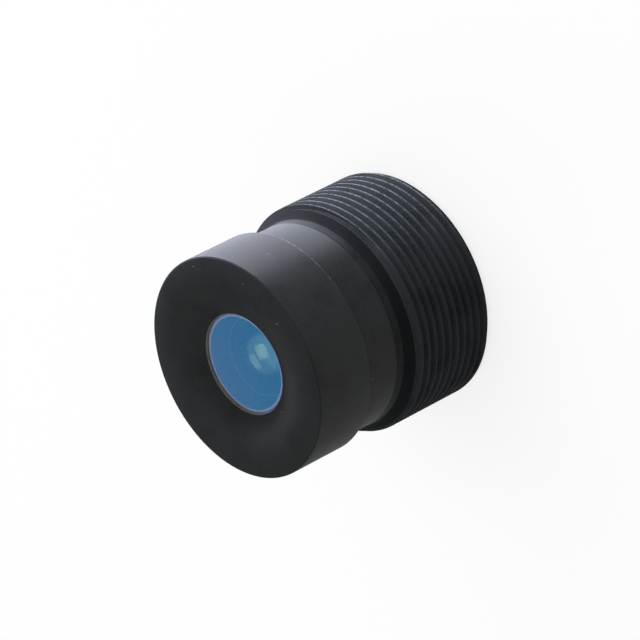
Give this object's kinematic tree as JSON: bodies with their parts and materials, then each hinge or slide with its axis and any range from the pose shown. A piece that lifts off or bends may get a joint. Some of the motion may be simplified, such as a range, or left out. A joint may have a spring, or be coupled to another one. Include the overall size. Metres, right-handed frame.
{
  "type": "fixed focus board lens",
  "caption": "Small fixed focus camera lens with a dished front cap, a plain neck and a fine external mounting thread on its rear barrel.",
  "frame": {"origin": "centre of the flat rear end of the threaded barrel, on the optical axis", "axes": "+Z along the optical axis from the rear end to the front rim; the lens is turned about it, so X and Y are free apart from the spanner slots, which lie along X"},
  "size_m": [0.012, 0.012, 0.0117],
  "materials": {
    "anodised_shell": "fine matte black anodised",
    "blackened_ring": "matte black anodised",
    "light_stop_film": "matte black",
    "iris_steel": "matte black",
    "coated_glass": "polished, blue antireflection coating",
    "filter_glass": "polished, pale cyan to red reflecting coating"
  },
  "bodies": {
    "root": {"front_cap": "anodised_shell", "front_housing": "anodised_shell", "threaded_barrel": "anodised_shell", "front_meniscus": "coated_glass", "front_light_stop": "light_stop_film", "front_spacer": "blackened_ring", "second_convex": "coated_glass", "stop_front_spacer": "blackened_ring", "iris_plate": "iris_steel", "stop_rear_spacer": "blackened_ring", "mid_convex": "coated_glass", "pair_crown": "coated_glass", "pair_flint": "coated_glass", "rear_light_stop": "light_stop_film", "rear_spacer": "blackened_ring", "rear_convex": "coated_glass", "rear_retainer": "blackened_ring", "infrared_filter": "filter_glass"}
  },
  "joints": []
}
